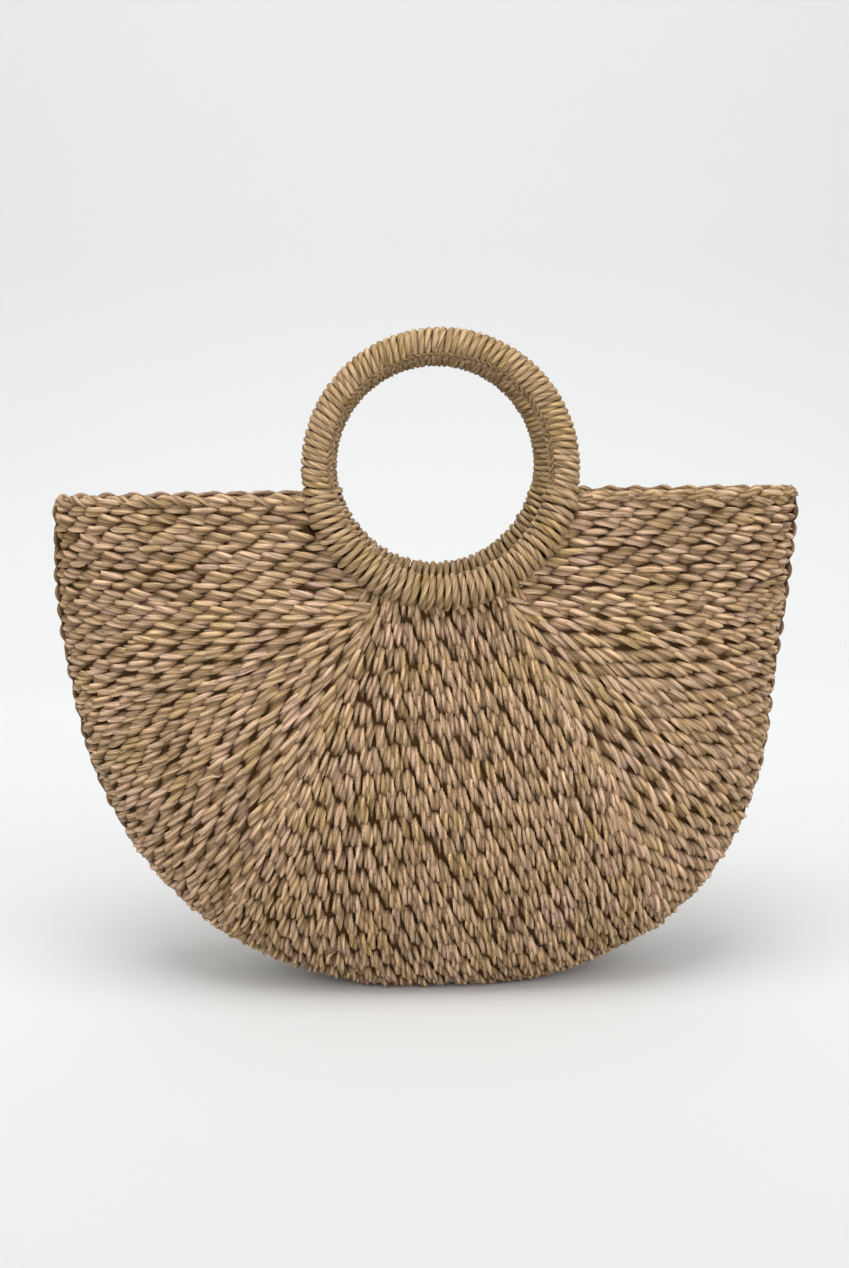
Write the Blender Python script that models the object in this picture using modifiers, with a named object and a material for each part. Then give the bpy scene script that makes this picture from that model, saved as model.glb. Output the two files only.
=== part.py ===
"""Straw basket bag: two knitted half shells of twisted paper cord, each hung on a cord-wound hoop handle.

Metres, +Z up. X runs across the bag, the front faces -Y, and the origin is on the floor under the middle.
"""

import math

import bmesh
import bpy
from mathutils import Matrix, Vector

# Body
BODY_WIDTH = 0.420
RIM_HEIGHT = 0.282
KNIT_WALL = 0.0060
BELLY = 0.0165  # how far the belly stands out past the plane of the hoop

# Hoop handles
HOOP_RADIUS = 0.0665  # to the middle of the tube
HOOP_TUBE_RADIUS = 0.0088  # over its winding
HOOP_CORE_RADIUS = 0.0068  # under the binding, where it is bare
HOOP_RISE = 0.0130  # middle of the hoop above the rim
HOOP_SPACING = 0.0750  # between the two hoops' middles
HOOP_LEAN = math.radians(4.0)  # the tops lean towards each other
HOOP_SIDE_SHARE = 0.026  # share of half the width by which the hoops stand right of the middle

# Binding loops that hold a panel to its hoop
BINDING_RADIUS = 0.0104

# Clearances and mesh density
FIT_GAP = 0.0003
WINDING_GAP = 0.0014  # between the end of a binding and the winding on its hoop
SEAM_LAND = 0.0010  # straight strip along the edge where the halves meet
PANEL_COLUMNS = 44
PANEL_ROWS = 13
WOUND_POINTS = 29
BINDING_POINTS = 23
TUBE_BEVEL_RESOLUTION = 3

HOOP_HEIGHT = RIM_HEIGHT + HOOP_RISE
HOOP_X = HOOP_SIDE_SHARE * BODY_WIDTH / 2
SEAM_GAP = FIT_GAP
NOTCH_RADIUS = HOOP_RADIUS + BINDING_RADIUS + FIT_GAP
BINDING_HALF_ARC = math.acos(HOOP_RISE / HOOP_RADIUS)

# Outline of the body from the rim's corner to the middle of the base, one row for each section.
# down: share of RIM_HEIGHT below the rim. left, right: shares of half of BODY_WIDTH, from the hoops' middle.
# fullness: power of the cross-section, 2 for an ellipse and more for a squarer one. belly: share of BELLY.
SECTION_COLUMNS = ("down", "left", "right", "fullness", "belly")
SECTIONS = (
    (0.000, 1.022, 0.974, 2.0, 0.00),
    (0.200, 1.026, 0.950, 2.0, 0.15),
    (0.380, 0.997, 0.917, 2.1, 0.40),
    (0.550, 0.948, 0.890, 2.2, 0.65),
    (0.700, 0.855, 0.824, 2.4, 0.85),
    (0.820, 0.730, 0.718, 2.7, 0.95),
    (0.912, 0.570, 0.570, 3.0, 1.00),
    (0.975, 0.390, 0.385, 3.2, 1.00),
    (1.008, 0.200, 0.195, 3.3, 1.00),
    (1.016, 0.000, 0.000, 3.3, 1.00),
)
BELLY_FULL_AT = 0.60  # share of the way from the notch to the outline

STRAW = (0.56, 0.40, 0.25)
WINDING_STRAW = (0.58, 0.40, 0.22)
BINDING_STRAW = (0.52, 0.36, 0.21)
STRAW_ROUGHNESS = 0.62


def clear_scene():
    for old in list(bpy.data.objects):
        bpy.data.objects.remove(old, do_unlink=True)


def new_collection(name):
    collection = bpy.data.collections.new(name)
    bpy.context.scene.collection.children.link(collection)
    return collection


def straw_material(name, colour):
    material = bpy.data.materials.new(name)
    material.use_nodes = True
    shader = material.node_tree.nodes["Principled BSDF"]
    shader.inputs["Base Color"].default_value = (*colour, 1.0)
    shader.inputs["Roughness"].default_value = STRAW_ROUGHNESS
    shader.inputs["Metallic"].default_value = 0.0
    return material


def add_object(collection, name, data, material):
    piece = bpy.data.objects.new(name, data)
    piece.data.materials.append(material)
    collection.objects.link(piece)
    return piece


def catmull_rom(rows, place):
    """Row of values at a place counted in rows, on a smooth curve through the rows."""
    index = min(int(place), len(rows) - 2)
    t = place - index
    before = rows[max(index - 1, 0)]
    start, end = rows[index], rows[index + 1]
    after = rows[min(index + 2, len(rows) - 1)]
    return [
        0.5 * (2 * b + (c - a) * t + (2 * a - 5 * b + 4 * c - d) * t**2 + (3 * b - a - 3 * c + d) * t**3)
        for a, b, c, d in zip(before, start, end, after)
    ]


def section_rows():
    """Rows of (x, z, fullness, belly depth) along the whole outline, left corner to right corner."""
    left, right = [], []
    for values in SECTIONS:
        row = dict(zip(SECTION_COLUMNS, values))
        height = RIM_HEIGHT * (1.0 - row["down"])
        shape = (height, row["fullness"], BELLY * row["belly"])
        left.append((-row["left"] * BODY_WIDTH / 2, *shape))
        right.append((row["right"] * BODY_WIDTH / 2, *shape))
    return left + right[-2::-1]


def notch_reach(sine, cosine):
    """Distance from the middle of the rim to the notch round the hoop, along a ray given by its sine and cosine."""
    squash = math.cos(HOOP_LEAN) ** 2
    a = sine**2 + cosine**2 / squash
    b = 2 * cosine * HOOP_RISE / squash
    c = HOOP_RISE**2 / squash - NOTCH_RADIUS**2
    return (-b + math.sqrt(b * b - 4 * a * c)) / (2 * a)


def hoop_plane_depth(height):
    """How far the plane of a leaning hoop is from the middle of the bag at a height."""
    return HOOP_SPACING / 2 + (HOOP_HEIGHT - height) * math.tan(HOOP_LEAN)


def panel_point(rows, across, along):
    """Point of a panel's outer face, front half: across runs 0 to 1 along the outline, along 0 to 1 from the notch."""
    x, z, fullness, belly = catmull_rom(rows, across * (len(rows) - 1))
    reach = math.hypot(x, RIM_HEIGHT - z)
    sine, cosine = x / reach, (RIM_HEIGHT - z) / reach
    inner = notch_reach(sine, cosine)
    last_row = 1.0 - 1.0 / PANEL_ROWS
    even = min(along / last_row, 1.0)
    share = 1.0 - (1.0 - even) ** 2
    distance = inner + (reach - inner) * share
    rise = min(share / BELLY_FULL_AT, 1.0)
    ramp = rise * rise * (3.0 - 2.0 * rise)
    seat = hoop_plane_depth(RIM_HEIGHT - inner * cosine) + KNIT_WALL / 2 - SEAM_LAND
    taper = (1.0 - share**fullness) ** (1.0 / fullness)
    land = SEAM_LAND if along <= last_row + 1e-6 else 0.0
    depth = SEAM_GAP / 2 + land + (seat + belly * ramp) * taper
    return Vector((HOOP_X + distance * sine, -depth, max(RIM_HEIGHT - distance * cosine, 0.0)))


def knitted_panel(collection, name, side, material):
    """One half shell. side is -1 for the front and 1 for the back, which is its mirror image."""
    rows = section_rows()
    shape = bmesh.new()
    bmesh.ops.create_grid(shape, x_segments=PANEL_COLUMNS, y_segments=PANEL_ROWS, size=0.5)
    for vertex in shape.verts:
        point = panel_point(rows, vertex.co.x + 0.5, 0.5 - vertex.co.y)
        point.y *= -side
        vertex.co = point
    if side > 0:
        bmesh.ops.reverse_faces(shape, faces=shape.faces)
    mesh = bpy.data.meshes.new(name)
    shape.to_mesh(mesh)
    shape.free()
    mesh.shade_smooth()
    panel = add_object(collection, name, mesh, material)
    wall = panel.modifiers.new("wall", "SOLIDIFY")
    wall.thickness = KNIT_WALL
    wall.offset = -1.0
    return panel


def hoop_matrix(side):
    """Frame of a hoop: its circle in local XZ, its middle at the hoop's height, the top leaning inwards."""
    place = Matrix.Translation((HOOP_X, side * HOOP_SPACING / 2, HOOP_HEIGHT))
    return place @ Matrix.Rotation(side * HOOP_LEAN, 4, "X")


def arc_curve(name, angles, radii, cyclic):
    """Tube round an arc of the hoop. Angles run from straight down, and each has its own tube radius."""
    curve = bpy.data.curves.new(name, "CURVE")
    curve.dimensions = "3D"
    curve.bevel_depth = 1.0
    curve.bevel_resolution = TUBE_BEVEL_RESOLUTION
    spline = curve.splines.new("POLY")
    spline.points.add(len(angles) - 1)
    for point, angle, radius in zip(spline.points, angles, radii):
        point.co = (HOOP_RADIUS * math.sin(angle), 0.0, -HOOP_RADIUS * math.cos(angle), 1.0)
        point.radius = radius
    spline.use_cyclic_u = cyclic
    spline.use_smooth = True
    return curve


def binding_angles():
    return [BINDING_HALF_ARC * (2 * i / (BINDING_POINTS - 1) - 1) for i in range(BINDING_POINTS)]


def hoop_handle(collection, name, side, material):
    """Whole hoop, thick where it is wound with cord and slimmer inside its binding."""
    gap = WINDING_GAP / 2 / HOOP_RADIUS
    bare = [-BINDING_HALF_ARC - gap, *binding_angles(), BINDING_HALF_ARC + gap]
    first = BINDING_HALF_ARC + 2 * gap
    span = 2 * (math.pi - first)
    wound = [first + span * i / (WOUND_POINTS - 1) for i in range(WOUND_POINTS)]
    radii = [HOOP_CORE_RADIUS] * len(bare) + [HOOP_TUBE_RADIUS] * WOUND_POINTS
    curve = arc_curve(name, bare + wound, radii, cyclic=True)
    hoop = add_object(collection, name, curve, material)
    hoop.matrix_world = hoop_matrix(side)
    return hoop


def hoop_binding(collection, name, side, material):
    """Sleeve of binding loops over the lower arc of the hoop, up to the level of the rim."""
    curve = arc_curve(name, binding_angles(), [BINDING_RADIUS] * BINDING_POINTS, cyclic=False)
    binding = add_object(collection, name, curve, material)
    binding.matrix_world = hoop_matrix(side)
    wall = binding.modifiers.new("wall", "SOLIDIFY")
    wall.thickness = BINDING_RADIUS - HOOP_CORE_RADIUS - FIT_GAP
    wall.offset = -1.0
    return binding


def main():
    clear_scene()
    bag = new_collection("straw_basket_bag")
    knit = straw_material("knitted_straw", STRAW)
    winding = straw_material("wound_straw", WINDING_STRAW)
    loops = straw_material("binding_straw", BINDING_STRAW)
    for word, side in (("front", -1), ("back", 1)):
        knitted_panel(bag, f"{word}_panel", side, knit)
        hoop_handle(bag, f"{word}_hoop_handle", side, winding)
        hoop_binding(bag, f"{word}_hoop_binding", side, loops)


main()
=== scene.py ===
"""Looks of the straw basket bag: each cord of the knit and the hoops, in a pale studio."""

import math

import bpy
import numpy as np
from mathutils import Euler, Matrix, Vector


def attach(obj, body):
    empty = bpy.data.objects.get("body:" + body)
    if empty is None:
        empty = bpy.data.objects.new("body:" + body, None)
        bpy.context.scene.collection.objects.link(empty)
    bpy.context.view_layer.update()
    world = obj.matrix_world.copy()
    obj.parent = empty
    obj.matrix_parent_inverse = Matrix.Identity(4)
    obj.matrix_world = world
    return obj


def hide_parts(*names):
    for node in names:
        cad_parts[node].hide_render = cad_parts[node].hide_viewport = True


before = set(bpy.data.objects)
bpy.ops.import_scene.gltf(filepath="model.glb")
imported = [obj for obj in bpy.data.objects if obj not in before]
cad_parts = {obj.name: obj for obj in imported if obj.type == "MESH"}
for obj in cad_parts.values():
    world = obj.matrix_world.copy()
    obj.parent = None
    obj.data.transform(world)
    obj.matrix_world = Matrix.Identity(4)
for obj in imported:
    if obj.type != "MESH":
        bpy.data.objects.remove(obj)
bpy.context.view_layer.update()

# Form of the body, in metres, as the solids have it
BODY_WIDTH = 0.420
RIM_HEIGHT = 0.282
BELLY = 0.0165
KNIT_WALL = 0.0060
HOOP_RADIUS = 0.0665
HOOP_TUBE_RADIUS = 0.0088
HOOP_RISE = 0.0130
HOOP_SPACING = 0.0750
HOOP_LEAN = math.radians(4.0)
HOOP_SIDE_SHARE = 0.026
BINDING_RADIUS = 0.0104
FIT_GAP = 0.0003
SECTION_COLUMNS = ("down", "left", "right", "fullness", "belly")
SECTIONS = (
    (0.000, 1.022, 0.974, 2.0, 0.00),
    (0.200, 1.026, 0.950, 2.0, 0.15),
    (0.380, 0.997, 0.917, 2.1, 0.40),
    (0.550, 0.948, 0.890, 2.2, 0.65),
    (0.700, 0.855, 0.824, 2.4, 0.85),
    (0.820, 0.730, 0.718, 2.7, 0.95),
    (0.912, 0.570, 0.570, 3.0, 1.00),
    (0.975, 0.390, 0.385, 3.2, 1.00),
    (1.008, 0.200, 0.195, 3.3, 1.00),
    (1.016, 0.000, 0.000, 3.3, 1.00),
)
BELLY_FULL_AT = 0.60
OUTLINE_SAMPLES = 600
HOOP_HEIGHT = RIM_HEIGHT + HOOP_RISE
HOOP_X = HOOP_SIDE_SHARE * BODY_WIDTH / 2
NOTCH_RADIUS = HOOP_RADIUS + BINDING_RADIUS + FIT_GAP
BINDING_HALF_ARC = math.acos(HOOP_RISE / HOOP_RADIUS)

# Cord
CORD_RADIUS = 0.0026
CORD_SIDES = 6
PLIES = 3
CORD_GROOVE = 0.30  # depth of the hollows between the plies, as a share of the radius
LEG_SWELL = 0.16  # by how much more than its radius a cord swells in the middle of a leg
CORD_PINCH = 0.74  # thickness of a cord where it dives, as a share of its full one
SWELL_FROM, SWELL_OVER = -0.4, 1.3  # height at which a cord starts to swell, and over how much it does
CORD_TWIST = 0.034  # length of one full turn of the plies
SIDE_TWIST = 0.062  # the same in the left and right parts, where the cord is slacker
STEPS_PER_POINT = 2
FLANK_SHADE = 0.62  # painted shade: how much darker, in steps of depth, a cord's flanks are than its crest
INNER_FACE_SHADE = 0.15  # painted shade: the same for the face of a cord towards the inside of the bag

# Knit
WALE_PITCH = 0.0105  # between columns of stitches at the sides
COURSE_PITCH = 0.0153  # between rows of stitches
COURSES = 22
FIRST_COURSE = 0.001  # from the foot of the columns to the first row
SIDE_COLUMNS = 6
FOCUS_HALF_SPAN = 0.034  # the side fans spread from points this far from the middle
FOCUS_HEIGHT = HOOP_HEIGHT - 0.0735
BAND = RIM_HEIGHT - FOCUS_HEIGHT  # height of the side bands
BAND_SPARE = 0.002  # how far the bands' patches run on past the rim
CENTRE_HALF_SPAN = 0.155  # half the width of the middle patch
BAND_SAMPLES, FAN_SAMPLES, CENTRE_SAMPLES = 60, 90, 150  # across the patches
FAN_ANGLE = math.radians(64.0)
FAN_SHARE = 0.77  # width of the fans' columns, as a share of the sides'
FAN_LEAST = 3  # columns in a fan, however narrow it is
FAN_WIDTH_AT = 0.6  # share of a row at which a fan's width is taken, to count its columns
FAN_FIRST = 0.35  # place of a fan's first column, in columns from its edge
FAN_TIGHT = 0.30  # columns by which a fan is narrower than its stitches side by side
CENTRE_PITCH = 0.0108  # between the upright columns in the middle
CENTRE_SHARE = 0.87  # length of a centre row's step, as a share of a fan's
CENTRE_SLOPE = 0.13  # the centre's rows climb to the right
CENTRE_SHIFT = 0.65  # columns by which each centre row is offset from the one above
CENTRE_MARGIN = 0.6  # columns by which the centre's rows reach past the edges of the fans
CENTRE_LIFT = 0.0135  # the middle columns start this far above the focus, under the binding
# Columns by which a centre stitch leans to the right on its way down, against its place in the row
CENTRE_LEAN = ((0.0, -0.40), (0.15, -0.08), (0.48, 0.40), (1.0, 0.50))
LEAN_PIVOT = 0.55  # share of a stitch at which it keeps its place, however it leans
KNIT_PROUD = 0.0006  # how far the outermost cords stand out past the solid
LEG_REST = 0.1  # how far below the face the legs' crests lie before that, in cord radii
FLOOR_REST = 0.9  # least height of a cord's middle line above the floor, in cord radii
SEAM_REST = 0.4  # and its least distance from the plane of the seam
RIM_REST = 0.3  # the same for the rim's strands
NOTCH_TUCK = 0.0110  # how far in under the binding the columns start
NOTCH_SEARCH, NOTCH_STEP = 0.08, 0.0005  # how far along a column that place is looked for, and how finely
RIM_TUCK = 0.0035  # how far below the rim the outermost loops turn
LEAST_ROOM = 0.4  # share of a row that a stitch needs at the outline
LAST_ROOM = 1.4  # with less room than this share of a row, a stitch is the last of its column
LEAST_STITCH = 0.5  # share of a row that is left of a stitch at the binding

# How stitches differ between the side bands, the fans and the centre.
# thickness: of their cord, as a share of the full one. length: of the legs, as a share of the table's.
# lag: share of a stitch by which right legs lag behind left ones. line: distance of the legs' lines from the
# middle of the column, in columns. straight: how far the legs keep to these lines, 1 for entirely.
# right_rise, left_sink: by how many cord radii right legs stand out and left ones lie back.
# neck_lift: by how many cord radii the loop of the row below stands out.
KIND_COLUMNS = ("thickness", "length", "lag", "line", "straight", "right_rise", "left_sink", "neck_lift")
KIND_ROWS = {
    "side": (1.05, 0.90, 0.50, 0.260, 0.50, 0.00, 0.00, 0.10),
    "fan": (1.06, 0.92, 0.50, 0.260, 0.50, 0.00, 0.00, 0.10),
    "centre": (0.87, 1.07, 0.30, 0.335, 0.57, 0.15, 0.10, 0.40),
}
KINDS = {name: dict(zip(KIND_COLUMNS, values)) for name, values in KIND_ROWS.items()}

# How loosely the stitches are worked, as spreads of the draws, in the units of the stitch's table
LOOSE_WIDTH = 0.08
LOOSE_SLANT = 0.09
LOOSE_ACROSS = 0.05
LOOSE_HEIGHT = 0.16
LOOSE_REACH = 0.06
LOOSE_ALONG = 0.055
LOOSE_NECK = (0.05, 0.15)  # across, height

# One stitch, in rows of along, across and height. along: share of the way to the next row.
# across: share of the column's width. height: in cord radii above the middle of the fabric.
STITCH = (
    (-0.06, -0.50, -1.00),
    (-0.03, -0.25, -0.80),
    (0.10, -0.15, 0.10),
    (0.34, -0.20, 0.85),
    (0.66, -0.30, 1.00),
    (0.96, -0.35, 0.65),
    (1.20, -0.27, -0.20),
    (1.36, 0.00, -0.85),
    (1.20, 0.27, -0.20),
    (0.96, 0.35, 0.65),
    (0.66, 0.30, 1.00),
    (0.34, 0.20, 0.85),
    (0.10, 0.15, 0.10),
    (-0.03, 0.25, -0.80),
)
LEG_TOP = max(row[2] for row in STITCH)
# The loop of the row below, seen in the opening of a stitch, in the same columns
NECK = (
    (0.34, 0.00, -0.90),
    (0.52, 0.00, 0.00),
    (0.82, 0.00, 0.42),
    (1.12, 0.00, 0.30),
    (1.36, 0.00, -0.70),
)
SHEET_DEPTH = 0.0040  # of the dark sheet below the outer face, which puts painted shade in the openings between the cords
# painted shade on the dark sheet: as dark as the shade goes
SHEET_SHADE = -2.0
INNER_SHEET_DEPTH = 0.0056  # of the lighter sheet seen from inside the bag, partly darkened by painted shade
# painted shade on the lighter sheet: about half dark
INNER_SHEET_SHADE = 0.1
SHEET_SHARES = {"left": (0.0, 0.36), "centre": (0.34, 0.66), "right": (0.64, 1.0)}  # of the outline
SHEET_COLUMNS, SHEET_ROWS = 48, 32
SHEET_BASE, SHEET_DROP = 0.0015, 0.008  # lowest edge above the floor, highest edge below the rim
SHEET_NOTCH_GAP, SHEET_SEAM_GAP = 0.001, 0.0002  # left free at the notch and at the seam

# The knit's own edge along the rim: two strands round each other
RIM_STEP = 0.0018
RIM_SUNK = 0.0037
RIM_DROP = 0.0036
RIM_SWAY = 0.0017
RIM_WAVE = 0.0021
RIM_WANDER = (0.25, 190.0)  # angle, and its radians for each metre
RIM_END = 0.002  # left free at the corner
RIM_BACK = 0.004  # how far the strands run in under the binding

# One stitch of the seam's chain, in shares of its pitch and width, and heights in cord radii
SEAM_PITCH = 0.0112
SEAM_WIDTH = 0.0085
SEAM_SUNK = 0.0020
SEAM_END = 0.004  # left free at each corner
SEAM_STEPS = 25  # points for each stitch
SEAM_STITCH = (
    (1.35, -0.10, -1.2),
    (1.10, -0.30, -0.3),
    (0.70, -0.33, 0.3),
    (0.30, -0.20, 0.2),
    (0.02, 0.00, -0.5),
    (0.30, 0.20, 0.2),
    (0.70, 0.33, 0.3),
    (1.10, 0.30, -0.3),
    (1.35, 0.10, -1.2),
)

# Winding of the hoops and their binding loops
WINDING_PITCH = 0.00355
WINDING_CORD = 0.0022
WINDING_STEPS = 22  # points for each turn
WINDING_TUCK = 0.0015  # how far the winding runs in under the binding
WINDING_SLANT = (0.0009, 0.0005)  # of a turn along the hoop, and how much it varies round the hoop
WINDING_LOOSE = 0.14
WINDING_LUMPS = 0.00035
WINDING_SUNK, CORE_SUNK = 0.95, 1.9  # of the turns' middle line and the core's face, in radii of the cord
CORE_STEPS, CORE_SIDES = 72, 12
RIDGE_STEP = 0.0012
RIDGE_ANGLE = 2.45  # place of the ridge round the tube, towards the hoop's opening
RIDGE_CORD = 0.0016
RIDGE_SUNK = 0.0009
RIDGE_SIDES = 9
LOOP_COUNT = 42
LOOP_CORD = 0.0026
LOOP_STEPS = 26
LOOP_SIDES = 8
LOOP_THINNED = 0.16  # share by which a loop is thinner towards the hoop's opening
LOOP_SUNK = 0.85  # of its middle line below the sleeve's face, in cord radii
LOOP_STAGGER = 0.25  # how much more every second loop is sunk towards the opening, in cord radii
LOOP_PAIRED = 0.10  # how far loops lean to each other in pairs at the panel, as a share of their spacing
LOOP_SWAY = 0.12  # how far one side of a loop is ahead of the other, as a share of the spacing
LOOP_LOOSE = (0.05, 0.00015)  # spreads of the place, as a share of the spacing, and of the height, in metres
HOOP_TWIST = 0.03  # length of one full turn of the plies of both

# Straw tones from warm through tan to rose, and how strongly painted shade darkens the hollows between the
# plies
KNIT_STRAW = ((0.495, 0.338, 0.160), (0.550, 0.376, 0.229), (0.598, 0.404, 0.292), 0.80)
WOUND_STRAW = ((0.41, 0.277, 0.120), (0.455, 0.312, 0.168), (0.49, 0.337, 0.204), 0.45)
FIBRE_STRETCH, FIBRE_SCALE, FIBRE_DETAIL = 0.09, 950.0, 4.0  # along the cord, and of the noise
STREAK_SHADES = (0.40, 1.60)
BLOTCH_SCALE, BLOTCH_DETAIL, BLOTCH_SHARE = 55.0, 2.0, 0.9
TINT_SHARE = 0.11
PLY_ROUNDNESS = 0.85
STRAW_ROUGHNESS = (0.42, 0.66)
STRAW_SPECULAR = 0.06
RELIEF_STRENGTH, RELIEF_DEPTH, PLY_RELIEF = 0.7, 0.0006, 1.3
# painted shade colour of the grooves between the plies
PLY_SHADE_COLOUR = (0.13, 0.075, 0.03)
# painted shade: the colour that the cords' low, hidden and inner parts and the dark sheet are mixed towards
PAINTED_SHADE_COLOUR = (0.045, 0.019, 0.003)

# Studio paper: its colour, and painted light and shade on it, as tones against the distance from the bag's
# middle along floor and wall
PAPER = (0.80, 0.81, 0.805)
PAPER_SPAN = (-4.0, 3.0)
PAPER_LIGHT_AND_SHADE = (
    (-3.90, 1.00),
    (3.00, 0.93),
    (-1.30, 0.90),
    (-0.45, 0.66),
    (-0.21, 0.74),
    (-0.04, 0.81),
    (0.13, 0.82),
    (0.40, 0.90),
    (0.89, 1.02),
    (1.70, 0.96),
    (1.97, 0.935),
    (2.52, 0.89),
)
SWEEP_WIDE, SWEEP_NEAR, SWEEP_WALL, SWEEP_HIGH, SWEEP_BEND = 4.0, -4.0, 1.9, 4.0, 0.9
SWEEP_STEPS = 16

# Lights: name, place, size, energy and colour
LIGHTS = (
    ("key_light", (-0.12, -0.45, 1.8), 1.2, 18.0, (1.0, 1.0, 1.0)),
    ("left_fill", (-1.2, -1.5, 1.0), 1.2, 6.0, (1.0, 1.0, 1.0)),
    ("right_fill", (1.1, -1.5, 0.9), 1.6, 12.0, (0.98, 0.94, 1.0)),
)
LIGHT_AIM = (0.0, 0.0, 0.15)
WORLD_STRENGTH = 0.88

# Camera, from the photograph, in its own pixels
PHOTO_HEIGHT = 1268  # of 849 x 1268
FOCAL_PIXELS = 1403.0
SENSOR = 36.0
CAMERA_DISTANCE = 0.7955
CAMERA_HEIGHT = 0.3065
CAMERA_PITCH = math.radians(7.6)
CAMERA_YAW = math.radians(1.7)
CAMERA_ROLL = math.radians(0.7)
CAMERA_SIDE = HOOP_X - 0.0088  # where the view's axis crosses the bag's middle plane


def catmull_rom(rows, places):
    """Rows of values at places counted in rows, on a smooth curve through the rows."""
    last = len(rows) - 1
    index = np.clip(places.astype(int), 0, last - 1)
    t = (places - index)[:, None]
    a, b = rows[np.maximum(index - 1, 0)], rows[index]
    c, d = rows[index + 1], rows[np.minimum(index + 2, last)]
    return 0.5 * (2 * b + (c - a) * t + (2 * a - 5 * b + 4 * c - d) * t**2 + (3 * b - a - 3 * c + d) * t**3)


def outline_table():
    """The outline from left corner to right: angle from straight down, reach, fullness and belly."""
    left, right = [], []
    for values in SECTIONS:
        row = dict(zip(SECTION_COLUMNS, values))
        shape = (RIM_HEIGHT * (1.0 - row["down"]), row["fullness"], BELLY * row["belly"])
        left.append((-row["left"] * BODY_WIDTH / 2, *shape))
        right.append((row["right"] * BODY_WIDTH / 2, *shape))
    rows = np.array(left + right[-2::-1])
    x, z, fullness, belly = catmull_rom(rows, np.linspace(0, len(rows) - 1, OUTLINE_SAMPLES)).T
    return np.arctan2(x, RIM_HEIGHT - z), np.hypot(x, RIM_HEIGHT - z), fullness, belly


OUTLINE_ANGLE, OUTLINE_REACH, OUTLINE_FULLNESS, OUTLINE_BELLY = outline_table()


def notch_reach(sine, cosine):
    """Distance from the rim's middle to the notch round the hoop, along rays given by sine and cosine."""
    squash = math.cos(HOOP_LEAN) ** 2
    a = sine**2 + cosine**2 / squash
    b = 2 * cosine * HOOP_RISE / squash
    c = HOOP_RISE**2 / squash - NOTCH_RADIUS**2
    return (-b + np.sqrt(b * b - 4 * a * c)) / (2 * a)


def body_share(x, z):
    """How far points of the front view lie between notch, 0, and outline, 1, their angles and the notch."""
    across, down = x - HOOP_X, RIM_HEIGHT - z
    angle = np.arctan2(across, down)
    distance = np.hypot(across, down)
    inner = notch_reach(np.sin(angle), np.cos(angle))
    reach = np.interp(angle, OUTLINE_ANGLE, OUTLINE_REACH)
    return (distance - inner) / (reach - inner), angle, inner


def body_depth(x, z):
    """Distance of the panel's outer face from the bag's middle plane, at points of the front view."""
    share, angle, inner = body_share(x, z)
    share = np.clip(share, 0.0, 1.0)
    fullness = np.interp(angle, OUTLINE_ANGLE, OUTLINE_FULLNESS)
    belly = np.interp(angle, OUTLINE_ANGLE, OUTLINE_BELLY)
    rise = np.minimum(share / BELLY_FULL_AT, 1.0)
    ramp = rise * rise * (3.0 - 2.0 * rise)
    height = RIM_HEIGHT - inner * np.cos(angle)
    seat = HOOP_SPACING / 2 + (HOOP_HEIGHT - height) * math.tan(HOOP_LEAN) + KNIT_WALL / 2
    return (seat + belly * ramp) * (1.0 - share**fullness) ** (1.0 / fullness)


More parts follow.
